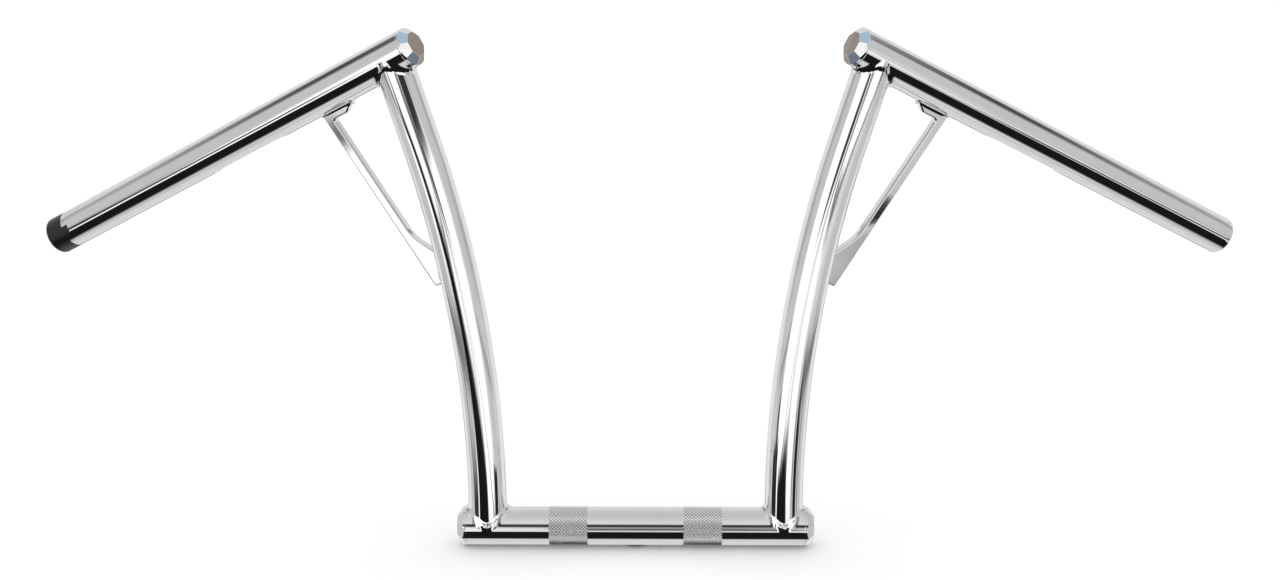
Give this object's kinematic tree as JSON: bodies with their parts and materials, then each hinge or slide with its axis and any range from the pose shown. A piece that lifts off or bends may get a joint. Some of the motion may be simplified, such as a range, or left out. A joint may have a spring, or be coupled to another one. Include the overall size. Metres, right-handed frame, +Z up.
{
  "type": "motorcycle handlebar",
  "caption": "Tall one-piece T-bar motorcycle handlebar: knurled base tube, curved uprights, strap gussets and pulled-back drooping grip tubes with capped inner ends.",
  "frame": {"origin": "middle of the base tube's axis, halfway between the two riser clamps", "axes": "+Z up, -Y to the front of the motorcycle, +Y to the rider, +X to the rider's left (clutch side)"},
  "size_m": [0.816, 0.1361, 0.345],
  "materials": {
    "chrome": "mirror chrome plate",
    "chrome_weld": "dressed weld bead under the same chrome plate",
    "black_plastic": "moulded, low gloss"
  },
  "bodies": {
    "handlebar": {"base_tube": "chrome", "base_cap_clutch": "chrome", "inner_cap_clutch": "chrome", "upright_clutch": "chrome", "grip_tube_clutch": "chrome", "gusset_clutch": "chrome", "weld_base_clutch": "chrome_weld", "weld_grip_clutch": "chrome_weld", "weld_gusset_foot_clutch": "chrome_weld", "weld_gusset_toe_clutch": "chrome_weld", "base_cap_throttle": "chrome", "inner_cap_throttle": "chrome", "upright_throttle": "chrome", "grip_tube_throttle": "chrome", "gusset_throttle": "chrome", "weld_base_throttle": "chrome_weld", "weld_grip_throttle": "chrome_weld", "weld_gusset_foot_throttle": "chrome_weld", "weld_gusset_toe_throttle": "chrome_weld"},
    "throttle_insert": {"throttle_insert": "black_plastic"}
  },
  "joints": [
    {"name": "throttle_insert_slide", "type": "slide", "parent": "handlebar", "child": "throttle_insert", "axis": [-0.8147, 0.3509, -0.4617], "range_m": [0, 0.045]}
  ]
}
